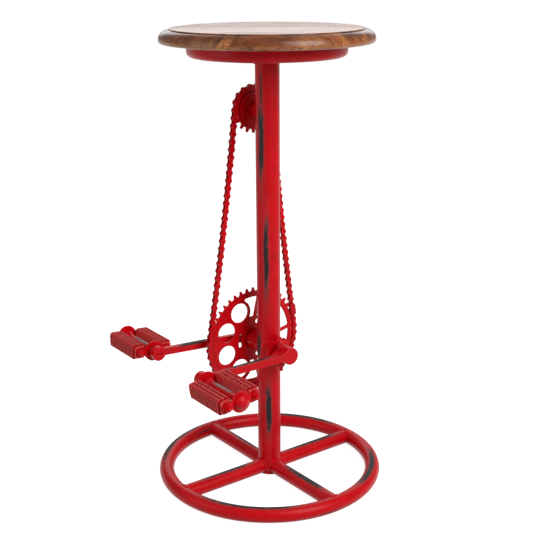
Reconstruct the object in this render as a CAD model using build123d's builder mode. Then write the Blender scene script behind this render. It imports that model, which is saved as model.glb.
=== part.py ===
from build123d import *

import math
import os

# Bar stool on one post, with a bicycle crankset as foot rest. All sizes are in millimetres.
# +Z is up, the floor is Z = 0 and the post stands on the Z axis.
# The crank arms point to -X, and the chain is on the +Y side, which is the stool's right.

# Seat board and its pan
seat_top_height = 762.0
seat_diameter = 340.0
seat_thickness = 22.5
seat_step = 2.2
seat_ledge = 2.0
seat_edge_round = 15.0
seat_under_round = 5.0
pan_diameter = 254.0
pan_depth = 21.5
pan_sheet = 2.0
pan_corner_round = 9.0
seat_screw_circle = 190.0
seat_screw_count = 4
seat_screw_shank = 4.0
seat_screw_head = 9.0
seat_screw_head_height = 3.0
seat_screw_bite = 14.0

# Post and ring base
post_diameter = 39.2
post_wall = 2.0
ring_diameter = 360.0
ring_tube = 25.0
ring_wall = 2.0
spoke_count = 4
spoke_tube = 24.5
spoke_wall = 2.0
spoke_turn = 1.3
vent_diameter = 8.0
weld_gap = 0.2

# Bottom bracket
bracket_height = 233.0
shell_diameter = 35.0
shell_wall = 2.8
shell_reach_left = 5.4
shell_reach_right = 18.4
axle_diameter = 16.0
axle_hole_gap = 0.6
bracket_ball = 4.76
bracket_ball_count = 11
ball_gap = 0.1
cup_flange = 2.5
cup_floor = 4.5
cup_depth = 11.5
lock_ring_diameter = 46.0
lock_ring_thickness = 4.0
lock_ring_notches = 8
lock_ring_notch = 5.0
lock_ring_notch_depth = 2.5
cup_stand_out = 2.0
seat_gap = 0.05
face_gap = 0.1

# Crank arms
crank_length = 170.0
boss_diameter = 29.0
left_boss_length = 31.0
right_boss_length = 20.6
boss_face = 3.0
boss_stand_off = 2.0
spigot_diameter = 24.0
arm_thickness = 9.0
arm_depth_at_boss = 14.0
arm_depth_at_eye = 12.0
arm_flare = 14.0
arm_root_length = 36.0
arm_edge_round = 1.5
arm_bend_clear = 4.0
arm_bend_radius = 60.0
eye_diameter = 24.0
eye_thickness = 12.0
left_dish = 0.0
right_dish = 18.5

# Cotter pins
cotter_diameter = 9.5
cotter_flat = 4.0
axle_flat = 5.5
cotter_head_reach = 23.5
cotter_seat_depth = 11.5
cotter_seat_diameter = 15.0
cotter_thread = 6.4
cotter_tail_reach = 27.0
cotter_washer_diameter = 13.0
cotter_washer_thickness = 1.5
cotter_nut_width = 10.0
cotter_nut_height = 5.5

# Chain, chainwheel and freewheel
chain_pitch = 12.7
chain_stand_out = 10.0
chain_sag = 3.0
wheel_teeth = 44
sprocket_teeth = 18
sprocket_offset = 6.0
sprocket_height_wanted = 629.0
tooth_tip = 2.8
tooth_thickness = 2.8
tooth_land = 1.7
roller_diameter = 7.75
roller_seat_gap = 0.125
roller_width = 3.2
plate_thickness = 1.0
plate_height = 9.6
plate_waist = 6.2
plate_gap = 0.1
pin_diameter = 3.6
pin_gap = 0.05
pin_stand_out = 0.75
joining_plate_height = 10.6
joining_link_angle = 16.0

# Cut-outs of the chainwheel; each spoke is an angle and a distance off the centre
rim_width = 13.5
rim_bead_width = 5.0
rim_bead_height = 0.7
rim_bead_inset = 1.5
hub_plate_radius = 40.0
wheel_hole_margin = 0.55
wheel_hole_step = 41.0
wheel_hole_band = 5.2
window_half_angle = 103.0
window_round = 1.8
wheel_spokes = [(77.0, 4.5), (-77.0, -4.5), (13.5, -11.5)]
wheel_spoke_width = 6.0
wheel_slot_length = 25.0
wheel_slot_width = 7.5
wheel_slot_radius = 26.5
small_hole_diameter = 8.6
small_hole_radius = 31.0
small_hole_angle = 73.0

# Freewheel on its stub
stub_diameter = 24.0
freewheel_body_diameter = 34.0
freewheel_body_inner = 7.0
freewheel_body_outer = 5.0
freewheel_shoulder_diameter = 57.0
freewheel_shoulder_inner = 4.5
freewheel_shoulder_outer = 2.5
cover_ring_diameter = 46.0
cover_ring_thickness = 1.4
cover_ring_hole = 2.6
cover_ring_hole_count = 4

# Pedals, measured outwards from the crank arm's outer face
pedal_stand_off = 6.5
pedal_plate_spacing = 94.0
pedal_plate_thickness = 2.0
pedal_plate_diameter = 34.0
pedal_plate_end = 15.0
pedal_plate_arm = 12.5
pedal_plate_fillet = 6.0
pedal_bolt_spread = 50.0
pedal_bolt_diameter = 6.0
pedal_bolt_head = 10.0
pedal_bolt_head_height = 3.5
pedal_nut_width = 10.0
pedal_nut_height = 5.0
pedal_bolt_tail = 2.5
rubber_width = 22.5
rubber_height = 25.0
rubber_corner = 2.5
rubber_end_gap = 0.5
rubber_collar_length = 5.0
rubber_collar_inset = 2.5
rib_width = 3.4
rib_spacing = 5.0
rib_depth = 1.8
tread_groove = 1.6
tread_groove_offset = 3.8
barrel_diameter = 17.0
barrel_cup_length = 9.0
barrel_taper = 5.0
barrel_tube_diameter = 12.8
barrel_bore = 10.2
race_depth = 6.0
pedal_ball = 3.2
pedal_ball_count = 11
pedal_ball_inset = 2.4
bearing_gap = 0.05
spindle_diameter = 8.6
spindle_neck_diameter = 12.0
spindle_thread_diameter = 14.0
spindle_flange_diameter = 18.0
spindle_flange_thickness = 3.5
spindle_flat_width = 15.0
spindle_shoulder_gap = 1.0
spindle_slot = 2.2
spindle_slot_depth = 2.0
cone_nut_width = 12.0
cone_nut_height = 5.0
cone_nut_gap = 0.5
spindle_tail = 1.5
cap_diameter = 25.0
cap_height = 10.5
cap_wall = 1.2

# Turn of each pedal at rest, in degrees; the rear rubber is up where it is positive
left_pedal_turn = 7.4
right_pedal_turn = -4.0

# Heights and radii that follow from the sizes above
seat_bottom = seat_top_height - seat_thickness
post_top = seat_bottom - pan_depth
post_radius = post_diameter / 2
ring_radius = ring_diameter / 2
ring_height = ring_tube / 2
shell_left = -(post_radius + shell_reach_left)
shell_right = post_radius + shell_reach_right
shell_bore_radius = shell_diameter / 2 - shell_wall
chain_y = shell_right + chain_stand_out
axle_radius = axle_diameter / 2
boss_radius = boss_diameter / 2
eye_radius = eye_diameter / 2
cotter_x = -(axle_flat + face_gap + cotter_flat)
lock_ring_outer_y = shell_left - face_gap - lock_ring_thickness
left_cup_face = lock_ring_outer_y - cup_stand_out
left_boss_inner = left_cup_face - boss_stand_off
left_boss_outer = left_boss_inner - left_boss_length
wheel_outer_y = chain_y + tooth_thickness / 2
right_boss_outer = wheel_outer_y + right_boss_length
right_spigot_inner = shell_right + cup_flange + boss_stand_off / 2
left_eye_face = left_boss_outer - left_dish
right_eye_face = right_boss_outer + right_dish


def save(builder, name):
    """Names a finished piece and writes its file."""
    builder.part.label = name
    export_step(builder.part, f"parts/{name}.step")


def side_plane(y, x=0.0, z=0.0):
    """Upright plane seen from the stool's left: across is X and up is Z. Extrudes go to -Y."""
    return Plane((x, y, z), x_dir=(1, 0, 0), z_dir=(0, -1, 0))


def profile_plane(origin, side):
    """Plane for a turned piece on a Y axis: across is the radius, and up goes to side times Y."""
    return Plane(origin, x_dir=(1, 0, 0), z_dir=(0, 0, side))


def turned(outline, origin, side):
    """A piece turned about a Y axis from points of radius and distance along the axis."""
    with BuildPart() as piece:
        with BuildSketch(profile_plane(origin, side)):
            with BuildLine():
                Polyline(*outline, close=True)
            make_face()
        revolve(axis=Axis(origin, (0, side, 0)))
    return piece


def ring_of_balls(diameter, count, circle_radius, centres):
    """Balls evenly round a Y axis, one ring at each centre."""
    with BuildPart() as balls:
        for centre in centres:
            with Locations(side_plane(centre[1], centre[0], centre[2])):
                with PolarLocations(circle_radius, count):
                    Sphere(diameter / 2)
    return balls


def pitch_radius(teeth):
    return chain_pitch / (2 * math.sin(math.pi / teeth))


# Seat board: flat top, small step, round edge
seat_radius = seat_diameter / 2
seat_round_foot = seat_top_height - seat_step - seat_edge_round
seat_round_in = seat_radius - seat_edge_round
seat_flat_radius = seat_round_in - seat_ledge
with BuildPart() as seat:
    with BuildSketch(Plane.XZ):
        with BuildLine():
            Polyline((seat_radius - seat_under_round, seat_bottom), (0, seat_bottom), (0, seat_top_height),
                     (seat_flat_radius, seat_top_height), (seat_flat_radius, seat_top_height - seat_step),
                     (seat_round_in, seat_top_height - seat_step))
            RadiusArc((seat_round_in, seat_top_height - seat_step), (seat_radius, seat_round_foot),
                      seat_edge_round)
            Line((seat_radius, seat_round_foot), (seat_radius, seat_bottom + seat_under_round))
            RadiusArc((seat_radius, seat_bottom + seat_under_round),
                      (seat_radius - seat_under_round, seat_bottom), seat_under_round)
        make_face()
    revolve(axis=Axis.Z)
    with Locations(Plane.XY.offset(seat_bottom)):
        with PolarLocations(seat_screw_circle / 2, seat_screw_count, start_angle=45):
            Cylinder(seat_screw_shank / 2 + seat_gap, seat_screw_bite + seat_gap, mode=Mode.SUBTRACT,
                     align=(Align.CENTER, Align.CENTER, Align.MIN))
save(seat, "seat")

# Seat pan: spun dish with its rim against the board and the post under its floor
pan_radius = pan_diameter / 2
pan_inner_round = pan_corner_round - pan_sheet
pan_flat_radius = pan_radius - pan_corner_round
with BuildPart() as seat_pan:
    with BuildSketch(Plane.XZ):
        with BuildLine():
            Polyline((pan_flat_radius, post_top + pan_sheet), (0, post_top + pan_sheet), (0, post_top),
                     (pan_flat_radius, post_top))
            RadiusArc((pan_flat_radius, post_top), (pan_radius, post_top + pan_corner_round),
                      -pan_corner_round)
            Polyline((pan_radius, post_top + pan_corner_round), (pan_radius, seat_bottom),
                     (pan_radius - pan_sheet, seat_bottom),
                     (pan_radius - pan_sheet, post_top + pan_corner_round))
            RadiusArc((pan_radius - pan_sheet, post_top + pan_corner_round),
                      (pan_flat_radius, post_top + pan_sheet), pan_inner_round)
        make_face()
    revolve(axis=Axis.Z)
    with Locations(Plane.XY.offset(post_top)):
        with PolarLocations(seat_screw_circle / 2, seat_screw_count, start_angle=45):
            Cylinder(seat_screw_shank / 2 + seat_gap, pan_sheet, mode=Mode.SUBTRACT,
                     align=(Align.CENTER, Align.CENTER, Align.MIN))
save(seat_pan, "seat_pan")

# Seat screws: pan heads under the dish, shanks up into the board
with BuildPart() as seat_screws:
    with BuildSketch(Plane.XY.offset(post_top)):
        with PolarLocations(seat_screw_circle / 2, seat_screw_count, start_angle=45):
            Circle(seat_screw_head / 2)
    extrude(amount=-seat_screw_head_height)
    with BuildSketch(Plane.XY.offset(post_top)):
        with PolarLocations(seat_screw_circle / 2, seat_screw_count, start_angle=45):
            Circle(seat_screw_shank / 2)
    extrude(amount=pan_depth + seat_screw_bite)
save(seat_screws, "seat_screws")

# Post: one tube from the floor to the pan, bored through for the bracket shell
with BuildPart() as post:
    with BuildSketch(Plane.XY):
        Circle(post_radius)
        Circle(post_radius - post_wall, mode=Mode.SUBTRACT)
    extrude(amount=post_top)
    with BuildSketch(side_plane(0, 0, bracket_height)):
        Circle(shell_diameter / 2 + weld_gap)
    extrude(amount=post_diameter, both=True, mode=Mode.SUBTRACT)
save(post, "post")

# Base ring: bent tube on the floor, with a vent hole at each spoke
with BuildPart() as base_ring:
    with BuildSketch(Plane.XZ):
        with Locations((ring_radius, ring_height)):
            Circle(ring_tube / 2)
            Circle(ring_tube / 2 - ring_wall, mode=Mode.SUBTRACT)
    revolve(axis=Axis.Z)
    with PolarLocations(ring_radius, spoke_count, start_angle=spoke_turn):
        with Locations(Location((0, 0, ring_height), (0, -90, 0))):
            Cylinder(vent_diameter / 2, ring_tube / 2, mode=Mode.SUBTRACT,
                     align=(Align.CENTER, Align.CENTER, Align.MIN))
save(base_ring, "base_ring")

# Base spokes: tubes shaped at both ends to the post and to the ring
for spoke_number in range(spoke_count):
    turn = spoke_turn + spoke_number * 360 / spoke_count
    outwards = Vector(1, 0, 0).rotate(Axis.Z, turn)
    with BuildPart() as base_spoke:
        with BuildSketch(Plane((0, 0, ring_height), x_dir=(0, 0, 1), z_dir=outwards)):
            Circle(spoke_tube / 2)
            Circle(spoke_tube / 2 - spoke_wall, mode=Mode.SUBTRACT)
        extrude(amount=ring_radius)
        with BuildSketch(Plane.XY):
            Circle(post_radius + weld_gap)
        extrude(amount=ring_tube, mode=Mode.SUBTRACT)
        with BuildSketch(Plane.XZ):
            with Locations((ring_radius, ring_height)):
                Circle(ring_tube / 2 + weld_gap)
        revolve(axis=Axis.Z, mode=Mode.SUBTRACT)
    save(base_spoke, f"base_spoke_{spoke_number + 1}")

# Bottom bracket: shell, two cups, lock ring, axle and balls
ball_circle_radius = axle_radius + ball_gap + bracket_ball / 2
race_radius = ball_circle_radius + bracket_ball / 2 + ball_gap
cup_radius = shell_bore_radius - seat_gap
axle_hole_radius = axle_radius + axle_hole_gap
with BuildPart() as bracket_shell:
    with BuildSketch(side_plane(shell_right, 0, bracket_height)):
        Circle(shell_diameter / 2)
        Circle(shell_bore_radius, mode=Mode.SUBTRACT)
    extrude(amount=shell_right - shell_left)
save(bracket_shell, "bracket_shell")

fixed_cup = turned([(axle_hole_radius, 0), (shell_diameter / 2, 0), (shell_diameter / 2, cup_flange),
                    (cup_radius, cup_flange), (cup_radius, cup_flange + cup_depth),
                    (race_radius, cup_flange + cup_depth), (race_radius, cup_floor),
                    (axle_hole_radius, cup_floor)],
                   (0, shell_right + cup_flange, bracket_height), -1)
save(fixed_cup, "fixed_cup")

left_cup_length = shell_left - left_cup_face + cup_depth
adjustable_cup = turned([(axle_hole_radius, 0), (cup_radius, 0), (cup_radius, left_cup_length),
                         (race_radius, left_cup_length), (race_radius, cup_floor),
                         (axle_hole_radius, cup_floor)],
                        (0, left_cup_face, bracket_height), 1)
save(adjustable_cup, "adjustable_cup")

with BuildPart() as lock_ring:
    with BuildSketch(side_plane(shell_left - face_gap, 0, bracket_height)):
        Circle(lock_ring_diameter / 2)
        Circle(cup_radius + seat_gap, mode=Mode.SUBTRACT)
        with PolarLocations(lock_ring_diameter / 2, lock_ring_notches, start_angle=22.5):
            Rectangle(2 * lock_ring_notch_depth, lock_ring_notch, mode=Mode.SUBTRACT)
    extrude(amount=lock_ring_thickness)
save(lock_ring, "lock_ring")

ball_inset = cup_floor + ball_gap + bracket_ball / 2
left_ball_y = left_cup_face + ball_inset
right_ball_y = shell_right + cup_flange - ball_inset
bracket_balls = ring_of_balls(bracket_ball, bracket_ball_count, ball_circle_radius,
                              [(0, left_ball_y, bracket_height), (0, right_ball_y, bracket_height)])
save(bracket_balls, "bracket_balls")

# Crank axle: stout between the balls, with a flat for each cotter pin
cone_reach = bracket_ball / 2 + ball_gap
axle_left = left_boss_outer + boss_face + face_gap
axle_right = right_boss_outer - boss_face - face_gap
left_cotter_y = (left_boss_inner + left_boss_outer) / 2
right_cotter_y = (wheel_outer_y + right_boss_outer) / 2
cone_radius = ball_circle_radius
with BuildPart() as crank_axle:
    with BuildSketch(side_plane(axle_right, 0, bracket_height)):
        Circle(axle_radius)
    extrude(amount=axle_right - axle_left)
    with BuildSketch(side_plane(right_ball_y - cone_reach, 0, bracket_height)):
        Circle(cone_radius)
    extrude(amount=right_ball_y - left_ball_y - 2 * cone_reach)
    for cotter_y in (left_cotter_y, right_cotter_y):
        with Locations((-axle_flat, cotter_y, bracket_height)):
            Box(axle_diameter, cotter_diameter, 2 * axle_diameter, mode=Mode.SUBTRACT,
                align=(Align.MAX, Align.CENTER, Align.CENTER))
save(crank_axle, "crank_axle")


def crank_arm(boss_inner, boss_outer, eye_face, side, cotter_y, bore_start):
    """Crank arm to -X with a blind bore. side is the way its outer face looks along Y."""
    eye_x = -crank_length
    half_root = arm_depth_at_boss / 2
    half_tip = arm_depth_at_eye / 2
    inwards = -side
    bend_from = -boss_radius - arm_bend_clear
    bend_to = eye_x + eye_radius + arm_bend_clear
    root_face = boss_outer + (eye_face - boss_outer) * (bend_from + arm_root_length) / (bend_from - bend_to)
    with BuildPart() as arm:
        with BuildSketch(side_plane(0, 0, bracket_height)) as outline:
            Circle(boss_radius)
            with Locations((eye_x, 0)):
                Circle(eye_radius)
            Polygon((0, -half_root), (0, half_root), (eye_x, half_tip), (eye_x, -half_tip), align=None)
            corners = [v for v in outline.vertices() if eye_x < v.X < 0 and abs(v.Y) > half_tip / 2]
            fillet(corners, arm_flare)
        extrude(amount=abs(boss_outer) + abs(eye_face), both=True)
        with BuildSketch(Plane.XY.offset(bracket_height)) as plan:
            Polygon((boss_radius, boss_outer), (bend_from, boss_outer), (bend_to, eye_face),
                    (eye_x - eye_radius, eye_face),
                    (eye_x - eye_radius, eye_face + inwards * arm_thickness),
                    (bend_to, eye_face + inwards * arm_thickness),
                    (-arm_root_length, root_face + inwards * arm_thickness),
                    (-boss_radius / 2, boss_inner), (boss_radius, boss_inner), align=None)
            if eye_face != boss_outer:
                bends = [v for v in plan.vertices() if v.X in (bend_from, bend_to)]
                fillet(bends, arm_bend_radius)
        extrude(amount=boss_diameter, both=True, mode=Mode.INTERSECT)
        outer_edges = []
        for edge in arm.edges():
            way_out = min(max((bend_from - edge.center().X) / (bend_from - bend_to), 0), 1)
            outer_y = boss_outer + (eye_face - boss_outer) * way_out
            bend_line = edge.geom_type == GeomType.LINE and abs(edge.tangent_at(0.5).Z) > 0.9
            if abs(edge.center().Y - outer_y) < arm_edge_round / 2 and not bend_line:
                outer_edges.append(edge)
        fillet(outer_edges, arm_edge_round)
        with BuildSketch(side_plane(eye_face + inwards * arm_edge_round, eye_x, bracket_height)):
            Circle(eye_radius)
        extrude(amount=side * (eye_thickness - arm_edge_round))
        if bore_start != boss_inner:
            with BuildSketch(side_plane(boss_inner, 0, bracket_height)):
                Circle(spigot_diameter / 2)
            extrude(amount=side * abs(boss_inner - bore_start))
        with BuildSketch(side_plane(bore_start, 0, bracket_height)):
            Circle(axle_radius + seat_gap)
        extrude(amount=inwards * (abs(boss_outer - bore_start) - boss_face), mode=Mode.SUBTRACT)
        with BuildSketch(side_plane(eye_face, eye_x, bracket_height)):
            Circle(spindle_thread_diameter / 2 + seat_gap)
        extrude(amount=side * eye_thickness, mode=Mode.SUBTRACT)
        with Locations((cotter_x, cotter_y, bracket_height)):
            Cylinder(cotter_diameter / 2 + seat_gap, 2 * boss_diameter, mode=Mode.SUBTRACT)
        with Locations((cotter_x, cotter_y, bracket_height - cotter_seat_depth)):
            Cylinder(cotter_seat_diameter / 2, boss_diameter, mode=Mode.SUBTRACT,
                     align=(Align.CENTER, Align.CENTER, Align.MAX))
    return arm


left_crank_arm = crank_arm(left_boss_inner, left_boss_outer, left_eye_face, -1, left_cotter_y,
                           left_boss_inner)
save(left_crank_arm, "left_crank_arm")
right_crank_arm = crank_arm(wheel_outer_y, right_boss_outer, right_eye_face, 1, right_cotter_y,
                            right_spigot_inner)
save(right_crank_arm, "right_crank_arm")

# Cotter pins, each with its flat against the axle's flat, and a washer and nut below
cotter_places = [(cotter_x, left_cotter_y), (cotter_x, right_cotter_y)]
cotter_seat = bracket_height - cotter_seat_depth
washer_bottom = cotter_seat - face_gap - cotter_washer_thickness
with BuildPart() as cotter_pins:
    with BuildSketch(Plane.XY.offset(cotter_seat)):
        with Locations(*cotter_places):
            Circle(cotter_diameter / 2)
    extrude(amount=cotter_seat_depth + cotter_head_reach)
    with BuildSketch(Plane.XY.offset(cotter_seat)):
        with Locations(*cotter_places):
            with Locations((cotter_flat, 0)):
                Rectangle(cotter_diameter, cotter_diameter, align=(Align.MIN, Align.CENTER))
    extrude(amount=cotter_seat_depth + boss_radius, mode=Mode.SUBTRACT)
    with BuildSketch(Plane.XY.offset(cotter_seat)):
        with Locations(*cotter_places):
            Circle(cotter_thread / 2)
    extrude(amount=cotter_seat_depth - cotter_tail_reach)
    chamfer(cotter_pins.edges().group_by(Axis.Z)[-1], 1.0)
save(cotter_pins, "cotter_pins")

with BuildPart() as cotter_washers:
    with BuildSketch(Plane.XY.offset(washer_bottom)):
        with Locations(*cotter_places):
            Circle(cotter_washer_diameter / 2)
            Circle(cotter_thread / 2 + seat_gap, mode=Mode.SUBTRACT)
    extrude(amount=cotter_washer_thickness)
save(cotter_washers, "cotter_washers")

with BuildPart() as cotter_nuts:
    with BuildSketch(Plane.XY.offset(washer_bottom - face_gap)):
        with Locations(*cotter_places):
            RegularPolygon(cotter_nut_width / 2, 6, major_radius=False)
            Circle(cotter_thread / 2 + seat_gap, mode=Mode.SUBTRACT)
    extrude(amount=-cotter_nut_height)
save(cotter_nuts, "cotter_nuts")

# Chain path: joints counted from a link centred on the line between the two wheels.
# Both runs have a whole number of links, and the wheels' distance follows from them.
wheel_radius = pitch_radius(wheel_teeth)
sprocket_radius = pitch_radius(sprocket_teeth)
wheel_step = 2 * math.pi / wheel_teeth
sprocket_step = 2 * math.pi / sprocket_teeth
wanted_distance = math.hypot(sprocket_offset, sprocket_height_wanted - bracket_height)
run_lean = math.asin((wheel_radius - sprocket_radius) / wanted_distance)
sprocket_seated = math.ceil((math.pi / 2 - run_lean) / sprocket_step - 0.5)
wheel_seated = math.ceil((math.pi / 2 + run_lean) / wheel_step - 0.5)
sprocket_end = (sprocket_seated + 0.5) * sprocket_step
wheel_end = (wheel_seated + 0.5) * wheel_step
run_side = wheel_radius * math.sin(wheel_end) - sprocket_radius * math.sin(sprocket_end)
ends_rise = sprocket_radius * math.cos(sprocket_end) + wheel_radius * math.cos(wheel_end)
run_links = round(math.hypot(run_side, wanted_distance + ends_rise) / chain_pitch)
link_turn = 8 * chain_sag / (run_links ** 2 * chain_pitch)
run_chord = chain_pitch * math.sin(run_links * link_turn / 2) / math.sin(link_turn / 2)
wheel_distance = math.sqrt(run_chord ** 2 - run_side ** 2) - ends_rise
line_lean = math.asin(sprocket_offset / wheel_distance)
sprocket_height = bracket_height + wheel_distance * math.cos(line_lean)

left_half = []
for number in range(sprocket_seated + 1):
    angle = (number + 0.5) * sprocket_step
    left_half.append((-sprocket_radius * math.sin(angle), wheel_distance + sprocket_radius * math.cos(angle)))
run_heading = math.atan2(ends_rise + wheel_distance, run_side) + math.pi
for number in range(run_links - 1):
    heading = run_heading + ((run_links - 1) / 2 - number) * link_turn
    across, up = left_half[-1]
    left_half.append((across + chain_pitch * math.cos(heading), up + chain_pitch * math.sin(heading)))
for number in range(wheel_seated, -1, -1):
    angle = (number + 0.5) * wheel_step
    left_half.append((-wheel_radius * math.sin(angle), -wheel_radius * math.cos(angle)))
loop = left_half + [(-across, up) for across, up in reversed(left_half)]
joints = [(across * math.cos(line_lean) + up * math.sin(line_lean),
           up * math.cos(line_lean) - across * math.sin(line_lean)) for across, up in loop]
links = []
for start, end in zip(joints, joints[1:] + joints[:1]):
    slope = math.degrees(math.atan2(end[1] - start[1], end[0] - start[0]))
    links.append(Location(((start[0] + end[0]) / 2, (start[1] + end[1]) / 2, 0), (0, 0, slope)))
lean_degrees = math.degrees(line_lean)


def toothed_outline(teeth, first_gap):
    """Adds a toothed disc to the open sketch, with the first tooth gap at the given angle."""
    radius = pitch_radius(teeth)
    roller_seat = roller_diameter / 2 + roller_seat_gap
    half_gap = math.pi * (radius + tooth_tip) / teeth - tooth_land / 2
    Circle(radius + tooth_tip)
    with PolarLocations(radius, teeth, start_angle=first_gap):
        Circle(roller_seat, mode=Mode.SUBTRACT)
        Polygon((0, -roller_seat), (tooth_tip, -half_gap), (2 * tooth_tip, -half_gap),
                (2 * tooth_tip, half_gap), (tooth_tip, half_gap), (0, roller_seat),
                align=None, mode=Mode.SUBTRACT)


# Chainwheel: cut-outs drawn first, then the plate with its teeth, then the raised bead on the rim
rim_inner_radius = wheel_radius - rim_width
hole_circle_radius = (rim_inner_radius + hub_plate_radius) / 2
hole_radius = (rim_inner_radius - hub_plate_radius) / 2 - wheel_hole_margin
hole_angles = [180 + (number - 1.5) * wheel_hole_step for number in range(4)]
with BuildSketch() as wheel_windows:
    Circle(rim_inner_radius)
    Circle(hub_plate_radius, mode=Mode.SUBTRACT)
    reach = 2 * rim_inner_radius
    cut_across = math.cos(math.radians(window_half_angle))
    cut_up = math.sin(math.radians(window_half_angle))
    Polygon((0, 0), (reach * cut_across, reach * cut_up), (-reach, reach), (-reach, -reach),
            (reach * cut_across, -reach * cut_up), align=None, mode=Mode.SUBTRACT)
    for angle in (hole_angles[0], hole_angles[-1]):
        with PolarLocations(hole_circle_radius, 1, start_angle=angle):
            Circle(hole_radius + wheel_hole_band, mode=Mode.SUBTRACT)
    for angle, offset in wheel_spokes:
        with PolarLocations(0, 1, start_angle=angle):
            with Locations((0, offset)):
                Rectangle(reach, wheel_spoke_width, align=(Align.MIN, Align.CENTER), mode=Mode.SUBTRACT)
    fillet(wheel_windows.vertices(), window_round)

with BuildPart() as chainwheel:
    with BuildSketch(side_plane(wheel_outer_y, 0, bracket_height)):
        toothed_outline(wheel_teeth, 270 - lean_degrees + math.degrees(wheel_step) / 2)
        add(wheel_windows.sketch, mode=Mode.SUBTRACT)
        for angle in hole_angles:
            with PolarLocations(hole_circle_radius, 1, start_angle=angle):
                Circle(hole_radius, mode=Mode.SUBTRACT)
        Circle(spigot_diameter / 2 + seat_gap, mode=Mode.SUBTRACT)
        with Locations((-wheel_slot_radius, 0)):
            SlotOverall(wheel_slot_length, wheel_slot_width, rotation=90, mode=Mode.SUBTRACT)
        for angle in (small_hole_angle, -small_hole_angle):
            with PolarLocations(small_hole_radius, 1, start_angle=angle):
                Circle(small_hole_diameter / 2, mode=Mode.SUBTRACT)
    extrude(amount=tooth_thickness)
    with BuildSketch(side_plane(wheel_outer_y + rim_bead_height, 0, bracket_height)):
        Circle(rim_inner_radius + rim_bead_inset + rim_bead_width)
        Circle(rim_inner_radius + rim_bead_inset, mode=Mode.SUBTRACT)
    extrude(amount=tooth_thickness + 2 * rim_bead_height)
save(chainwheel, "chainwheel")

# Freewheel: stub on the post, threaded body, sprocket with its shoulders, cover ring
freewheel_inner_y = chain_y - freewheel_body_inner
freewheel_outer_y = chain_y + freewheel_body_outer
cover_ring_outer_y = chain_y - freewheel_shoulder_inner - face_gap
with BuildPart() as freewheel_stub:
    with BuildSketch(side_plane(freewheel_outer_y - face_gap, sprocket_offset, sprocket_height)):
        Circle(stub_diameter / 2)
    extrude(amount=freewheel_outer_y - face_gap)
    with BuildSketch(Plane.XY.offset(sprocket_height)):
        Circle(post_radius + weld_gap)
    extrude(amount=stub_diameter, both=True, mode=Mode.SUBTRACT)
save(freewheel_stub, "freewheel_stub")

with BuildPart() as freewheel_body:
    with BuildSketch(side_plane(freewheel_outer_y, sprocket_offset, sprocket_height)):
        Circle(freewheel_body_diameter / 2)
        Circle(stub_diameter / 2 + seat_gap, mode=Mode.SUBTRACT)
    extrude(amount=freewheel_outer_y - freewheel_inner_y)
save(freewheel_body, "freewheel_body")

with BuildPart() as freewheel_sprocket:
    with BuildSketch(side_plane(wheel_outer_y, sprocket_offset, sprocket_height)):
        toothed_outline(sprocket_teeth, 90 - lean_degrees + math.degrees(sprocket_step) / 2)
        Circle(freewheel_body_diameter / 2 + seat_gap, mode=Mode.SUBTRACT)
    extrude(amount=tooth_thickness)
    with BuildSketch(side_plane(chain_y + freewheel_shoulder_outer, sprocket_offset, sprocket_height)):
        Circle(freewheel_shoulder_diameter / 2)
        Circle(freewheel_body_diameter / 2 + seat_gap, mode=Mode.SUBTRACT)
    extrude(amount=freewheel_shoulder_outer + freewheel_shoulder_inner)
save(freewheel_sprocket, "freewheel_sprocket")

with BuildPart() as freewheel_cover_ring:
    with BuildSketch(side_plane(cover_ring_outer_y, sprocket_offset, sprocket_height)):
        Circle(cover_ring_diameter / 2)
        Circle(freewheel_body_diameter / 2 + seat_gap, mode=Mode.SUBTRACT)
        with PolarLocations((cover_ring_diameter + freewheel_body_diameter) / 4, cover_ring_hole_count):
            Circle(cover_ring_hole / 2, mode=Mode.SUBTRACT)
    extrude(amount=cover_ring_thickness)
save(freewheel_cover_ring, "freewheel_cover_ring")

# Chain: plates drawn link by link, in pairs on both sides of the chain's plane
inner_plate_in = roller_width / 2 + pin_gap
outer_plate_in = inner_plate_in + plate_thickness + plate_gap
outer_plate_out = outer_plate_in + plate_thickness


def chain_plates(chosen, nearest):
    """A pair of plates for each chosen link; nearest is their distance from the chain's plane."""
    with BuildPart() as plates:
        for face_y in (chain_y + nearest + plate_thickness, chain_y - nearest):
            with BuildSketch(side_plane(face_y, 0, bracket_height)):
                with Locations(*chosen):
                    Rectangle(chain_pitch, plate_waist)
                    with Locations((-chain_pitch / 2, 0), (chain_pitch / 2, 0)):
                        Circle(plate_height / 2)
                with Locations(*joints):
                    Circle(pin_diameter / 2 + pin_gap, mode=Mode.SUBTRACT)
            extrude(amount=plate_thickness)
    return plates


chain_outer_plates = chain_plates(links[0::2], outer_plate_in)
save(chain_outer_plates, "chain_outer_plates")
chain_inner_plates = chain_plates(links[1::2], inner_plate_in)
save(chain_inner_plates, "chain_inner_plates")

with BuildPart() as chain_rollers:
    with BuildSketch(side_plane(chain_y + roller_width / 2, 0, bracket_height)):
        with Locations(*joints):
            Circle(roller_diameter / 2)
            Circle(pin_diameter / 2 + pin_gap, mode=Mode.SUBTRACT)
    extrude(amount=roller_width)
save(chain_rollers, "chain_rollers")

pin_half = outer_plate_out + pin_stand_out
with BuildPart() as chain_pins:
    with BuildSketch(side_plane(chain_y + pin_half, 0, bracket_height)):
        with Locations(*joints):
            Circle(pin_diameter / 2)
    extrude(amount=2 * pin_half)
save(chain_pins, "chain_pins")

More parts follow.
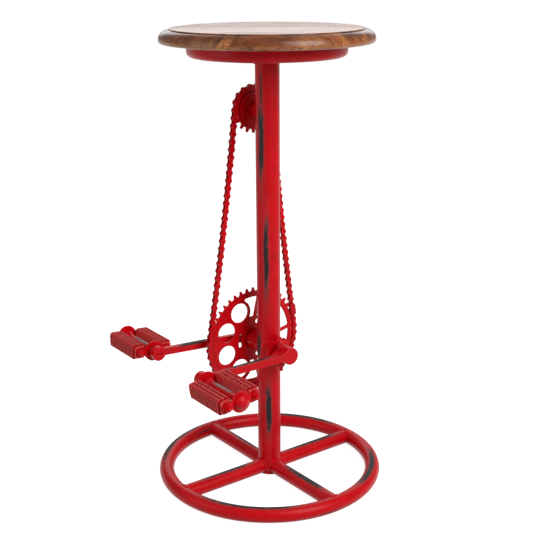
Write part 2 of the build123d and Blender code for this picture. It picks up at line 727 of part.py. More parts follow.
joining_target = Vector(wheel_radius, 0, 0).rotate(Axis.Z, joining_link_angle)
joining_link = min(links[0::2], key=lambda place: (place.position - joining_target).length)
with BuildPart() as chain_joining_plate:
    with BuildSketch(side_plane(chain_y - outer_plate_out - plate_gap, 0, bracket_height)):
        with Locations(joining_link):
            SlotCenterToCenter(chain_pitch, joining_plate_height)
            with Locations((-chain_pitch / 2, 0), (chain_pitch / 2, 0)):
                Circle(pin_diameter / 2 + pin_gap, mode=Mode.SUBTRACT)
    extrude(amount=plate_thickness)
save(chain_joining_plate, "chain_joining_plate")

# Pedals: distances run outwards from the crank arm's outer face
bolt_reach = pedal_bolt_spread / 2
inner_plate_out = pedal_stand_off + pedal_plate_thickness
outer_plate_start = inner_plate_out + pedal_plate_spacing - pedal_plate_thickness
pedal_end = outer_plate_start + pedal_plate_thickness
spindle_radius = spindle_diameter / 2
pedal_ball_circle = spindle_radius + bearing_gap + pedal_ball / 2
pedal_race_radius = pedal_ball_circle + pedal_ball / 2 + bearing_gap
barrel_radius = barrel_diameter / 2
barrel_tube_radius = barrel_tube_diameter / 2
barrel_shoulder = barrel_cup_length + barrel_taper
cone_nut_start = pedal_end + cone_nut_gap
spindle_end = cone_nut_start + cone_nut_height + spindle_tail
rubber_start = inner_plate_out + rubber_end_gap
rubber_end = outer_plate_start - rubber_end_gap
rubber_length = rubber_end - rubber_start


def pedal(name, eye_face, side, turn):
    """Writes all pieces of one pedal; side is the way it points along Y, and turn is in degrees."""
    centre = (-crank_length, eye_face, bracket_height)
    to_rear = (math.cos(math.radians(turn)), 0, math.sin(math.radians(turn)))

    def square_at(distance):
        """Plane square to the spindle, this far out from the arm: its X runs towards the rear rubber."""
        return Plane((centre[0], eye_face + side * distance, centre[2]), x_dir=to_rear, z_dir=(0, side, 0))

    thread_radius = spindle_thread_diameter / 2
    flange_radius = spindle_flange_diameter / 2
    neck_radius = spindle_neck_diameter / 2
    neck_end = pedal_stand_off - spindle_shoulder_gap
    with BuildPart() as spindle:
        with BuildSketch(profile_plane(centre, side)):
            with BuildLine():
                Polyline((0, -eye_thickness), (thread_radius, -eye_thickness), (thread_radius, face_gap),
                         (flange_radius, face_gap), (flange_radius, spindle_flange_thickness),
                         (neck_radius, spindle_flange_thickness), (neck_radius, neck_end),
                         (spindle_radius, neck_end), (spindle_radius, spindle_end), (0, spindle_end),
                         close=True)
            make_face()
        revolve(axis=Axis(centre, (0, side, 0)))
        with BuildSketch(square_at(-eye_thickness)):
            Rectangle(spindle_thread_diameter, spindle_slot)
        extrude(amount=spindle_slot_depth, mode=Mode.SUBTRACT)
        with BuildSketch(square_at(face_gap)):
            Rectangle(2 * spindle_flange_diameter, 2 * spindle_flange_diameter)
            Rectangle(2 * spindle_flange_diameter, spindle_flat_width, mode=Mode.SUBTRACT)
        extrude(amount=spindle_flange_thickness, mode=Mode.SUBTRACT)
    save(spindle, f"{name}_spindle")

    with BuildPart() as cone_nut:
        with BuildSketch(square_at(cone_nut_start)):
            RegularPolygon(cone_nut_width / 2, 6, major_radius=False)
            Circle(spindle_radius + seat_gap, mode=Mode.SUBTRACT)
        extrude(amount=cone_nut_height)
    save(cone_nut, f"{name}_cone_nut")

    ball_centres = [(centre[0], eye_face + side * distance, centre[2])
                    for distance in (pedal_stand_off + pedal_ball_inset, pedal_end - pedal_ball_inset)]
    save(ring_of_balls(pedal_ball, pedal_ball_count, pedal_ball_circle, ball_centres), f"{name}_balls")

    barrel = turned([(barrel_radius, pedal_stand_off), (barrel_radius, pedal_stand_off + barrel_cup_length),
                     (barrel_tube_radius, pedal_stand_off + barrel_shoulder),
                     (barrel_tube_radius, pedal_end - barrel_shoulder),
                     (barrel_radius, pedal_end - barrel_cup_length), (barrel_radius, pedal_end),
                     (pedal_race_radius, pedal_end), (pedal_race_radius, pedal_end - race_depth),
                     (barrel_bore / 2, pedal_end - race_depth),
                     (barrel_bore / 2, pedal_stand_off + race_depth),
                     (pedal_race_radius, pedal_stand_off + race_depth),
                     (pedal_race_radius, pedal_stand_off)], centre, side)
    save(barrel, f"{name}_barrel")

    for plate_name, plate_start in (("inner_plate", pedal_stand_off), ("outer_plate", outer_plate_start)):
        with BuildPart() as plate:
            with BuildSketch(square_at(plate_start)) as plate_outline:
                Rectangle(pedal_bolt_spread, pedal_plate_arm)
                with Locations((-bolt_reach, 0), (bolt_reach, 0)):
                    Circle(pedal_plate_end / 2)
                Circle(pedal_plate_diameter / 2)
                waist = [v for v in plate_outline.vertices() if abs(v.Y) > pedal_plate_arm / 4
                         and abs(v.X) < pedal_plate_diameter / 2]
                fillet(waist, pedal_plate_fillet)
                Circle(barrel_radius + seat_gap, mode=Mode.SUBTRACT)
                with Locations((-bolt_reach, 0), (bolt_reach, 0)):
                    Circle(pedal_bolt_diameter / 2 + seat_gap, mode=Mode.SUBTRACT)
            extrude(amount=pedal_plate_thickness)
        save(plate, f"{name}_{plate_name}")

    # Each rubber is a core between two collars, with ribs round its top, bottom and outer side.
    # Long grooves part the ribs into studs on the top and the bottom.
    rib_room = rubber_length - 2 * rubber_collar_length
    rib_count = math.floor((rib_room - rib_width) / rib_spacing) + 1
    first_rib = rubber_start + (rubber_length - (rib_count - 1) * rib_spacing - rib_width) / 2
    rib_planes = [square_at(first_rib + number * rib_spacing) for number in range(rib_count)]
    for rubber_name, facing in (("front_rubber", -1), ("rear_rubber", 1)):
        middle = facing * bolt_reach
        with BuildPart() as rubber:
            with BuildSketch(square_at(rubber_start)) as collars:
                with Locations((middle, 0)):
                    Rectangle(rubber_width - 2 * rubber_collar_inset, rubber_height - 2 * rubber_collar_inset)
                chamfer(collars.vertices(), rubber_corner)
            extrude(amount=rubber_length)
            with BuildSketch(square_at(rubber_start + rubber_collar_length)) as core:
                with Locations((middle - facing * rib_depth / 2, 0)):
                    Rectangle(rubber_width - rib_depth, rubber_height - 2 * rib_depth)
                chamfer(core.vertices(), rubber_corner - rib_depth / 2)
            extrude(amount=rib_room)
            with BuildSketch(*rib_planes) as ribs:
                with Locations((middle, 0)):
                    Rectangle(rubber_width, rubber_height)
                chamfer(ribs.vertices(), rubber_corner)
            extrude(amount=rib_width)
            with BuildSketch(square_at(rubber_start + rubber_collar_length)):
                with Locations((middle, rubber_height / 2), (middle, -rubber_height / 2)):
                    with Locations((-tread_groove_offset, 0), (tread_groove_offset, 0)):
                        Rectangle(tread_groove, 2 * rib_depth)
            extrude(amount=rib_room, mode=Mode.SUBTRACT)
            with BuildSketch(square_at(rubber_start)):
                with Locations((middle, 0)):
                    Circle(pedal_bolt_diameter / 2 + seat_gap)
            extrude(amount=rubber_length, mode=Mode.SUBTRACT)
        save(rubber, f"{name}_{rubber_name}")

    with BuildPart() as bolts:
        with BuildSketch(square_at(pedal_stand_off)):
            with Locations((-bolt_reach, 0), (bolt_reach, 0)):
                Circle(pedal_bolt_head / 2)
        extrude(amount=-pedal_bolt_head_height)
        head_rims = [e for e in bolts.edges() if side * (e.center().Y - eye_face) < pedal_stand_off - 0.1]
        fillet(head_rims, pedal_bolt_head_height / 2)
        with BuildSketch(square_at(pedal_stand_off)):
            with Locations((-bolt_reach, 0), (bolt_reach, 0)):
                Circle(pedal_bolt_diameter / 2)
        extrude(amount=pedal_end - pedal_stand_off + pedal_nut_height + pedal_bolt_tail)
    save(bolts, f"{name}_bolts")

    with BuildPart() as nuts:
        with BuildSketch(square_at(pedal_end)):
            with Locations((-bolt_reach, 0), (bolt_reach, 0)):
                RegularPolygon(pedal_nut_width / 2, 6, major_radius=False)
                Circle(pedal_bolt_diameter / 2 + seat_gap, mode=Mode.SUBTRACT)
        extrude(amount=pedal_nut_height)
    save(nuts, f"{name}_nuts")

    cap_radius = cap_diameter / 2
    cap_straight = cap_height / 4
    with BuildPart() as dust_cap:
        with BuildSketch(profile_plane((centre[0], eye_face + side * pedal_end, centre[2]), side)):
            with BuildLine():
                Polyline((cap_radius - cap_wall, cap_straight), (cap_radius - cap_wall, 0), (cap_radius, 0),
                         (cap_radius, cap_straight))
                TangentArc((0, cap_height), (cap_radius, cap_straight), tangent=(1, 0))
                Line((0, cap_height), (0, cap_height - cap_wall))
                TangentArc((0, cap_height - cap_wall), (cap_radius - cap_wall, cap_straight), tangent=(1, 0))
            make_face()
        revolve(axis=Axis(centre, (0, side, 0)))
    save(dust_cap, f"{name}_dust_cap")


pedal("left_pedal", left_eye_face, -1, left_pedal_turn)
pedal("right_pedal", right_eye_face, 1, right_pedal_turn)
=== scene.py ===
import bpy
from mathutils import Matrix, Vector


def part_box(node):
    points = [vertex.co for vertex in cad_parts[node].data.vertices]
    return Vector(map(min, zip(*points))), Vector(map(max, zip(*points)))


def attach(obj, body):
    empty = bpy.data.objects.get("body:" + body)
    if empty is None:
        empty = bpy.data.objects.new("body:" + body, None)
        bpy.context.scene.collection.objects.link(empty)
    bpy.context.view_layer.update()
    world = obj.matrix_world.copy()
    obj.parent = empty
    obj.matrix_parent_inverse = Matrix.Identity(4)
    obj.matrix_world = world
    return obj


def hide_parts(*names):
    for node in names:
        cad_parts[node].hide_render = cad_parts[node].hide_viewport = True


bl_info = {
    "name": "Pedal bar stool",
    "version": (1, 0, 0),
    "blender": (4, 5, 0),
    "location": "3D View > Sidebar > Bar stool",
    "description": "Dresses a bar stool of bicycle parts: wooden seat board, weld beads and worn red paint",
    "category": "Object",
}

import math

import bpy
from bpy.props import FloatProperty, FloatVectorProperty, IntProperty, PointerProperty, StringProperty
from mathutils import Matrix, Vector

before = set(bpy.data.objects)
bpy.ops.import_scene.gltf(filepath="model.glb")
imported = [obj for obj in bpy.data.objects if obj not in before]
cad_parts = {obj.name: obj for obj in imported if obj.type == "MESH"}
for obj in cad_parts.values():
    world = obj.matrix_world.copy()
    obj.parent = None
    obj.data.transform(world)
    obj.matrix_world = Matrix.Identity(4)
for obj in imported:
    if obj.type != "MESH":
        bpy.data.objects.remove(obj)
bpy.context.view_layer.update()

MM = 0.001
seat_low, seat_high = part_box("seat")
post_low, post_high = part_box("post")
ring_low, ring_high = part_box("base_ring")
spoke_low, spoke_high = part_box("base_spoke_1")
shell_low, shell_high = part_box("bracket_shell")
stub_low, stub_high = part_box("freewheel_stub")


class StoolSizes(bpy.types.PropertyGroup):
    """Sizes of the pieces that are modelled here, over the solids of the frame."""
    edge_round: FloatProperty(
        name="Edge round", description="Radius of the seat board's big round edge",
        default=15 * MM, min=0.005, max=0.02, unit="LENGTH")
    under_round: FloatProperty(
        name="Under round", description="Radius of the seat board's lower edge",
        default=5 * MM, min=0.001, max=0.008, unit="LENGTH")
    step: FloatProperty(
        name="Step", description="How far the flat top stands above the ledge round it",
        default=2.2 * MM, min=0.0005, max=0.004, unit="LENGTH")
    ledge: FloatProperty(
        name="Ledge", description="Width of the flat ledge outside the step",
        default=2 * MM, min=0.001, max=0.006, unit="LENGTH")
    softened: FloatProperty(
        name="Softened", description="Radius that sanding left on the step's two corners",
        default=0.8 * MM, min=0.0002, max=0.001, unit="LENGTH")
    frame_bead: FloatProperty(
        name="Frame bead", description="Radius of the weld beads at the foot of the post",
        default=3 * MM, min=0.001, max=0.004, unit="LENGTH")
    ring_bead: FloatProperty(
        name="Ring bead", description="Radius of the weld beads at the ring",
        default=1.65 * MM, min=0.001, max=0.004, unit="LENGTH")
    bracket_bead: FloatProperty(
        name="Bracket bead", description="Radius of the weld beads of the bracket and the stub",
        default=1.8 * MM, min=0.001, max=0.004, unit="LENGTH")
    bead_ripple: FloatProperty(
        name="Bead ripple",
        description="Length of one ripple of a weld bead, longer than real so that it shows",
        default=5 * MM, min=0.002, max=0.01, unit="LENGTH")
    round_sides: IntProperty(
        name="Round sides", description="Sides of the seat board's circle", default=192, min=48, max=512)


class StoolColours(bpy.types.PropertyGroup):
    """Colours of the finishes, as sRGB hex values."""
    paint: StringProperty(name="Paint", description="Main red of the paint", default="#c0000f")
    paint_bright: StringProperty(name="Bright paint", description="Red where the paint is thick",
                                 default="#cf0412")
    # Painted shade: the darker red that corners and gaps are given
    painted_shade_red: StringProperty(name="Painted shade red", description="Red painted as shade in hollows and corners",
                               default="#5c0208")
    rubbed: StringProperty(name="Rubbed", description="Dark primer where the paint is rubbed through",
                           default="#2c2224")
    rubbed_thin: StringProperty(name="Thinly rubbed", description="Greyer edge of a rubbed place",
                                default="#6b4746")
    bare_steel: StringProperty(name="Bare steel", description="Metal of the pedal barrels and the bearings",
                               default="#837a77")
    grease: StringProperty(name="Grease", description="Dull film on the bearing steel", default="#5d5652")
    # Painted shade: black in the chain's and the freewheel's gaps; in the rubber's gaps it is partly
    # unpainted rubber and partly painted shade
    gap_shade_black: StringProperty(name="Gap shade black", description="Black in the chain's and the rubber's gaps",
                         default="#14090a")
    rubber_dust: StringProperty(name="Rubber dust", description="Paler red on the rubber's worn ribs",
                                default="#dc5650")
    wood_light: StringProperty(name="Light wood", description="Golden streaks of the grain",
                               default="#bd7a40")
    wood_mid: StringProperty(name="Middle wood", description="Main brown of the boards", default="#8e4926")
    # Real stain in the grain and pores, and also painted shade in the step's corner
    stain_and_shade_wood: StringProperty(name="Dark wood", description="Stain in the grain, and painted shade in the step",
                              default="#3b2015")
    sapwood: StringProperty(name="Sapwood", description="Pale stripe at a joint of the boards",
                            default="#d0844a")


class StoolStage(bpy.types.PropertyGroup):
    """Camera, lamps and floor."""
    camera_place: FloatVectorProperty(
        name="Camera place", description="Where the camera stands", size=3,
        default=(-0.9662, -1.3545, 0.8666), subtype="XYZ", unit="LENGTH")
    camera_heading: FloatProperty(
        name="Heading", description="Turn of the camera about the upright axis",
        default=math.radians(-35.592), subtype="ANGLE", unit="ROTATION")
    camera_pitch: FloatProperty(
        name="Pitch", description="How far the camera looks down",
        default=math.radians(16.70), subtype="ANGLE", unit="ROTATION")
    camera_roll: FloatProperty(
        name="Roll", description="Turn of the camera about its own line of sight",
        default=math.radians(-0.321), subtype="ANGLE", unit="ROTATION")
    focal_length: FloatProperty(
        name="Focal length", description="Lens of the camera in millimetres on a 36 mm sensor",
        default=69.5, min=20, max=200)
    room_light: FloatProperty(
        name="Room light", description="Strength of the even light from all around",
        default=0.3, min=0, max=2)
    key_light: FloatProperty(
        name="Key lamp", description="Power of the softbox at the front right", default=50, min=0, max=200)
    fill_light: FloatProperty(
        name="Fill lamp", description="Power of the softbox at the left", default=9.5, min=0, max=200)
    back_light: FloatProperty(
        name="Back lamp", description="Power of the softbox behind, which the seat's top reflects",
        default=18.5, min=0, max=200)
    floor_colour: StringProperty(name="Floor", description="Colour of the floor", default="#b4b4b4")
    floor_lift: FloatProperty(
        name="Floor lift", description="White that the camera sees on the floor besides the lamps' light",
        default=0.88, min=0, max=1)


def linear(hex_colour):
    """Turns an sRGB hex value into a linear colour."""
    channels = [int(hex_colour[place:place + 2], 16) / 255 for place in (1, 3, 5)]
    return [c / 12.92 if c <= 0.04045 else ((c + 0.055) / 1.055) ** 2.4 for c in channels] + [1.0]


def node(tree, kind, inputs=None, **settings):
    """Adds a node with its settings; each input is a value or a socket to link from."""
    made = tree.nodes.new(kind)
    for name, value in settings.items():
        setattr(made, name, value)
    for place, value in (inputs or {}).items():
        if isinstance(value, bpy.types.NodeSocket):
            tree.links.new(value, made.inputs[place])
        else:
            made.inputs[place].default_value = value
    return made


def new_finish(name):
    """A material with only a Principled shader and Object coordinates."""
    finish = bpy.data.materials.new(name)
    finish.use_nodes = True
    tree = finish.node_tree
    tree.nodes.clear()
    shader = node(tree, "ShaderNodeBsdfPrincipled")
    node(tree, "ShaderNodeOutputMaterial", {"Surface": shader.outputs["BSDF"]})
    place = node(tree, "ShaderNodeTexCoord").outputs["Object"]
    return finish, tree, shader, place


def rubbed_places(tree, sheet, patches):
    """How near a point is to the nearest patch: 0 in its middle, 1 at its edge.

    The sheet is a vector that measures the surface, and each patch is its middle and its half lengths there.
    """
    nearest = None
    for middle, reach in patches:
        inside = node(tree, "ShaderNodeMapping", {"Vector": sheet, "Location": middle, "Scale": reach},
                      vector_type="TEXTURE")
        # Squared before its length is taken, so that the patch has blunt ends
        blunt = node(tree, "ShaderNodeVectorMath", {0: inside.outputs[0], 1: inside.outputs[0]},
                     operation="MULTIPLY")
        length = node(tree, "ShaderNodeVectorMath", {0: blunt.outputs[0]}, operation="LENGTH")
        if nearest is None:
            nearest = length.outputs["Value"]
        else:
            nearest = node(tree, "ShaderNodeMath", {0: nearest, 1: length.outputs["Value"]},
                           operation="MINIMUM").outputs[0]
    return nearest


def angle_about_post(tree, axes):
    """Angle of a point about the post, in degrees from 0 to 360."""
    turn = node(tree, "ShaderNodeMath", {0: axes.outputs["Y"], 1: axes.outputs["X"]}, operation="ARCTAN2")
    degrees = node(tree, "ShaderNodeMath", {0: turn.outputs[0]}, operation="DEGREES")
    return node(tree, "ShaderNodeMath", {0: degrees.outputs[0], 1: 360.0},
                operation="FLOORED_MODULO").outputs[0]


def unrolled_post(tree, place):
    """Measures the post's surface by angle in degrees and height in metres."""
    axes = node(tree, "ShaderNodeSeparateXYZ", {0: place})
    angle = angle_about_post(tree, axes)
    return node(tree, "ShaderNodeCombineXYZ", {"X": angle, "Y": axes.outputs["Z"]}).outputs[0]


def unrolled_ring(tree, place, radius, height):
    """Measures the ring tube by the angle about the post and the angle round the tube, in degrees."""
    axes = node(tree, "ShaderNodeSeparateXYZ", {0: place})
    angle = angle_about_post(tree, axes)
    flat = node(tree, "ShaderNodeCombineXYZ", {"X": axes.outputs["X"], "Y": axes.outputs["Y"]})
    away = node(tree, "ShaderNodeVectorMath", {0: flat.outputs[0]}, operation="LENGTH")
    out = node(tree, "ShaderNodeMath", {0: away.outputs["Value"], 1: radius}, operation="SUBTRACT")
    up = node(tree, "ShaderNodeMath", {0: axes.outputs["Z"], 1: height}, operation="SUBTRACT")
    round_tube = node(tree, "ShaderNodeMath", {0: up.outputs[0], 1: out.outputs[0]}, operation="ARCTAN2")
    tube_degrees = node(tree, "ShaderNodeMath", {0: round_tube.outputs[0]}, operation="DEGREES")
    return node(tree, "ShaderNodeCombineXYZ", {"X": angle, "Y": tube_degrees.outputs[0]}).outputs[0]


def red_enamel(name, colours, rubbed=None, streak=(1.0, 1.0, 1.0), hollow=4 * MM, gap_shade_black=None, worn_to=None):
    """Spray enamel over dark primer, rubbed through by hand in places to look old.

    It gives an uneven satin red with painted shade in hollows, and ragged dark places that turn grey at their
    edges.
    rubbed takes the tree and the Object coordinates and gives the nearness to rubbed places. streak stretches
    the raggedness of their edges, and worn_to is the colour in their middle. hollow is the size of the gaps
    that get painted shade. soot makes that painted shade black: it is how much of the open air a
    gap may see to be all black.
    """
    finish, tree, shader, place = new_finish(name)
    # Spray lands unevenly in clouds about 30 mm wide
    cloud = node(tree, "ShaderNodeTexNoise", {"Vector": place, "Scale": 1 / (30 * MM), "Detail": 3.0})
    cloudy = node(tree, "ShaderNodeMapRange", {0: cloud.outputs[0], 1: 0.35, 2: 0.65})
    red = node(tree, "ShaderNodeMix", {0: cloudy.outputs[0], 6: linear(colours.paint),
                                       7: linear(colours.paint_bright)}, data_type="RGBA").outputs[2]
    # Painted shade in the corners and gaps: darker red, and black where soot is given
    corner = node(tree, "ShaderNodeAmbientOcclusion", {"Distance": hollow}, samples=6)
    shade_amount = node(tree, "ShaderNodeMapRange", {0: corner.outputs["AO"], 1: 0.75, 2: gap_shade_black or 0.2, 3: 0.0,
                                             4: 0.97 if gap_shade_black else 0.6})
    red = node(tree, "ShaderNodeMix", {0: shade_amount.outputs[0], 6: red,
                                       7: linear(colours.gap_shade_black if gap_shade_black else colours.painted_shade_red)},
               data_type="RGBA").outputs[2]
    satin = node(tree, "ShaderNodeMapRange", {0: cloud.outputs[0], 1: 0.3, 2: 0.7, 3: 0.3, 4: 0.4}).outputs[0]
    # Orange peel of the spray, about 1.6 mm across
    peel = node(tree, "ShaderNodeTexNoise", {"Vector": place, "Scale": 1 / (1.6 * MM), "Detail": 2.0})
    height = peel.outputs[0]
    if rubbed is not None:
        near = rubbed(tree, place)
        stretched = node(tree, "ShaderNodeMapping", {"Vector": place, "Scale": streak})
        # Sandpaper leaves ragged edges, with lumps of paint about 6 mm apart and finer specks among them
        rough_edge = node(tree, "ShaderNodeTexNoise", {"Vector": stretched.outputs[0], "Scale": 1 / (6 * MM),
                                                       "Detail": 8.0, "Roughness": 0.85})
        # Centred on 0, so that it moves the edge both in and out
        ragged = node(tree, "ShaderNodeMath", {0: rough_edge.outputs[0], 1: 5.0, 2: -2.5},
                      operation="MULTIPLY_ADD")
        reach = node(tree, "ShaderNodeMath", {0: near, 1: ragged.outputs[0]}, operation="ADD")
        worn = node(tree, "ShaderNodeMapRange", {0: reach.outputs[0], 1: 1.15, 2: 0.75})
        deep = node(tree, "ShaderNodeMapRange", {0: reach.outputs[0], 1: 0.95, 2: 0.4})
        # A wide scuffed border, where the paint is only dulled
        scuffed = node(tree, "ShaderNodeMapRange", {0: reach.outputs[0], 1: 3.6, 2: 0.9, 3: 0.0, 4: 0.26})
        red = node(tree, "ShaderNodeMix", {0: scuffed.outputs[0], 6: red, 7: linear(colours.rubbed_thin)},
                   data_type="RGBA").outputs[2]
        under = node(tree, "ShaderNodeMix", {0: deep.outputs[0], 6: linear(colours.rubbed_thin),
                                             7: linear(worn_to or colours.rubbed)}, data_type="RGBA")
        red = node(tree, "ShaderNodeMix", {0: worn.outputs[0], 6: red, 7: under.outputs[2]},
                   data_type="RGBA").outputs[2]
        satin = node(tree, "ShaderNodeMix", {0: worn.outputs[0], 2: satin, 3: 0.5}).outputs[0]
        height = node(tree, "ShaderNodeMath", {0: worn.outputs[0], 1: -0.8, 2: height},
                      operation="MULTIPLY_ADD").outputs[0]
    skin = node(tree, "ShaderNodeBump", {"Strength": 0.25, "Distance": 0.15 * MM, "Height": height})
    tree.links.new(red, shader.inputs["Base Color"])
    tree.links.new(satin, shader.inputs["Roughness"])
    tree.links.new(skin.outputs[0], shader.inputs["Normal"])
    shader.inputs["IOR"].default_value = 1.5
    shader.inputs["Specular IOR Level"].default_value = 0.17
    return finish


def painted_rubber(name, colours):
    """Moulded rubber sprayed over with the frame, then walked on.

    The ribs are a chalky paler red, and the gaps between them are black: partly unpainted rubber where no
    spray reached, partly painted shade.
    """
    finish, tree, shader, place = new_finish(name)
    gap = node(tree, "ShaderNodeAmbientOcclusion", {"Distance": 2.2 * MM}, samples=8)
    speck = node(tree, "ShaderNodeTexNoise", {"Vector": place, "Scale": 1 / (5 * MM), "Detail": 5.0,
                                              "Roughness": 0.7})
    spread = node(tree, "ShaderNodeMath", {0: speck.outputs[0], 1: 0.6, 2: -0.3}, operation="MULTIPLY_ADD")
    open_air = node(tree, "ShaderNodeMath", {0: gap.outputs["AO"], 1: spread.outputs[0]}, operation="ADD")
    # Black in the gaps: partly unpainted rubber, partly painted shade where little open air is seen
    black = node(tree, "ShaderNodeMapRange", {0: open_air.outputs[0], 1: 0.76, 2: 0.48, 3: 0.0, 4: 0.94})
    dusty = node(tree, "ShaderNodeMapRange", {0: open_air.outputs[0], 1: 0.8, 2: 1.1, 3: 0.0, 4: 0.85})
    red = node(tree, "ShaderNodeMix", {0: dusty.outputs[0], 6: linear(colours.paint),
                                       7: linear(colours.rubber_dust)}, data_type="RGBA")
    colour = node(tree, "ShaderNodeMix", {0: black.outputs[0], 6: red.outputs[2], 7: linear(colours.gap_shade_black)},
                  data_type="RGBA")
    skin = node(tree, "ShaderNodeBump", {"Strength": 0.5, "Distance": 0.4 * MM, "Height": speck.outputs[0]})
    tree.links.new(colour.outputs[2], shader.inputs["Base Color"])
    tree.links.new(skin.outputs[0], shader.inputs["Normal"])
    shader.inputs["Roughness"].default_value = 0.62
    shader.inputs["IOR"].default_value = 1.52
    shader.inputs["Specular IOR Level"].default_value = 0.15
    return finish


def ground_steel(name, colours):
    """Bare bearing steel: bright and finely ground round the axis, with a dull film of grease."""
    finish, tree, shader, place = new_finish(name)
    film = node(tree, "ShaderNodeTexNoise", {"Vector": place, "Scale": 1 / (4 * MM), "Detail": 3.0})
    colour = node(tree, "ShaderNodeMix", {0: film.outputs[0], 6: linear(colours.bare_steel),
                                          7: linear(colours.grease)}, data_type="RGBA")
    dull = node(tree, "ShaderNodeMapRange", {0: film.outputs[0], 1: 0.3, 2: 0.7, 3: 0.25, 4: 0.45})
    tree.links.new(colour.outputs[2], shader.inputs["Base Color"])
    tree.links.new(dull.outputs[0], shader.inputs["Roughness"])
    shader.inputs["Metallic"].default_value = 1.0
    return finish


def varnished_boards(name, colours, seat_middle, ledge):
    """Mango wood boards glued edge to edge, stained, wiped back and varnished.

    It gives brown boards that differ in tint, golden streaks along the grain, dark pores, painted shade in
    the step round the top, and a clear coat that mirrors the backdrop at a low angle.
    """
    finish, tree, shader, place = new_finish(name)
    board_width = 56 * MM
    board_length = 330 * MM
    # Shifts of the boards' ends in board lengths: from row to row, and of the row through the middle
    row_shift = 0.37
    middle_shift = 1.314
    joint_lean = -0.75
    front_row_number = -3.0
    boards_turn = math.radians(35.5)
    # The boards run across the photograph, so the pattern is turned to lie along them
    along = node(tree, "ShaderNodeMapping", {"Vector": place, "Location": (0, 0, -seat_middle),
                                             "Rotation": (0, 0, boards_turn)})
    axes = node(tree, "ShaderNodeSeparateXYZ", {0: along.outputs[0]})
    row = node(tree, "ShaderNodeMath", {0: axes.outputs["Y"], 1: 1 / board_width, 2: 0.5},
               operation="MULTIPLY_ADD")
    row_number = node(tree, "ShaderNodeMath", {0: row.outputs[0]}, operation="FLOOR")
    # The ends are staggered from row to row, and the front row has one left of the middle
    stagger = node(tree, "ShaderNodeMath", {0: row_number.outputs[0], 1: row_shift, 2: middle_shift},
                   operation="MULTIPLY_ADD")
    # The joint leans, so its line across the round edge is a diagonal
    lean = node(tree, "ShaderNodeMath", {0: axes.outputs["Z"], 1: joint_lean, 2: axes.outputs["X"]},
                operation="MULTIPLY_ADD")
    started = node(tree, "ShaderNodeMath", {0: lean.outputs[0], 1: 1 / board_length, 2: stagger.outputs[0]},
                   operation="MULTIPLY_ADD")
    board_number = node(tree, "ShaderNodeMath", {0: started.outputs[0]}, operation="FLOOR")
    board_start = node(tree, "ShaderNodeMath", {0: started.outputs[0]}, operation="FRACT")
    board = node(tree, "ShaderNodeCombineXYZ", {"X": board_number.outputs[0], "Y": row_number.outputs[0]})
    chance = node(tree, "ShaderNodeTexWhiteNoise", {"Vector": board.outputs[0]}, noise_dimensions="3D")
    # Each board is cut from another place in the tree
    cut = node(tree, "ShaderNodeVectorMath", {0: chance.outputs["Color"], 1: (3.0, 3.0, 3.0),
                                              2: along.outputs[0]}, operation="MULTIPLY_ADD")
    # Growth bands about 13 mm wide, long along the grain and upright in the board's thickness
    bands_place = node(tree, "ShaderNodeMapping", {"Vector": cut.outputs[0], "Scale": (0.16, 1.0, 0.3)})
    bands = node(tree, "ShaderNodeTexNoise", {"Vector": bands_place.outputs[0], "Scale": 1 / (13 * MM),
                                              "Detail": 4.0, "Roughness": 0.6, "Distortion": 0.6})
    # Pores about 1.7 mm wide and 10 mm long, coarser than real so that they show
    pore_place = node(tree, "ShaderNodeMapping", {"Vector": cut.outputs[0], "Scale": (0.17, 1.0, 1.0)})
    pores = node(tree, "ShaderNodeTexNoise", {"Vector": pore_place.outputs[0], "Scale": 1 / (1.7 * MM),
                                              "Detail": 3.0, "Roughness": 0.7})
    # Clouds of stain about 26 mm wide and 58 mm long
    cloud_place = node(tree, "ShaderNodeMapping", {"Vector": cut.outputs[0], "Scale": (0.45, 1.0, 1.0)})
    cloud = node(tree, "ShaderNodeTexNoise", {"Vector": cloud_place.outputs[0], "Scale": 1 / (26 * MM),
                                              "Detail": 3.0})
    golden = node(tree, "ShaderNodeMapRange", {0: bands.outputs[0], 1: 0.44, 2: 0.66})
    wood = node(tree, "ShaderNodeMix", {0: golden.outputs[0], 6: linear(colours.wood_mid),
                                        7: linear(colours.wood_light)}, data_type="RGBA")
    stain = node(tree, "ShaderNodeMapRange", {0: cloud.outputs[0], 1: 0.46, 2: 0.7, 3: 0.0, 4: 0.5})
    wood = node(tree, "ShaderNodeMix", {0: stain.outputs[0], 6: wood.outputs[2],
                                        7: linear(colours.stain_and_shade_wood)}, data_type="RGBA")
    tint = node(tree, "ShaderNodeMapRange", {0: chance.outputs["Value"], 3: 0.78, 4: 1.2})
    wood = node(tree, "ShaderNodeVectorMath", {0: wood.outputs[2], "Scale": tint.outputs[0]},
                operation="SCALE")
    # Sapwood over the first 17 mm of the front board
    sap = node(tree, "ShaderNodeMapRange", {0: board_start.outputs[0], 1: 0.052, 2: 0.044, 3: 0.0, 4: 0.7})
    front_row = node(tree, "ShaderNodeMath", {0: row_number.outputs[0], 1: front_row_number, 2: 0.5},
                     operation="COMPARE")
    sap = node(tree, "ShaderNodeMath", {0: sap.outputs[0], 1: front_row.outputs[0]}, operation="MULTIPLY")
    wood = node(tree, "ShaderNodeMix", {0: sap.outputs[0], 6: wood.outputs[0], 7: linear(colours.sapwood)},
                data_type="RGBA")
    # The sanded top shows its pores less than the rim
    below_top = node(tree, "ShaderNodeMath", {0: axes.outputs["Z"], 1: ledge + 1.2 * MM},
                     operation="LESS_THAN")
    pore_stain = node(tree, "ShaderNodeMapRange", {0: below_top.outputs[0], 3: 0.3, 4: 0.75})
    dark_pore = node(tree, "ShaderNodeMapRange", {0: pores.outputs[0], 1: 0.52, 2: 0.36, 3: 0.0,
                                                  4: pore_stain.outputs[0]})
    wood = node(tree, "ShaderNodeMix", {0: dark_pore.outputs[0], 6: wood.outputs[2],
                                        7: linear(colours.stain_and_shade_wood)}, data_type="RGBA")
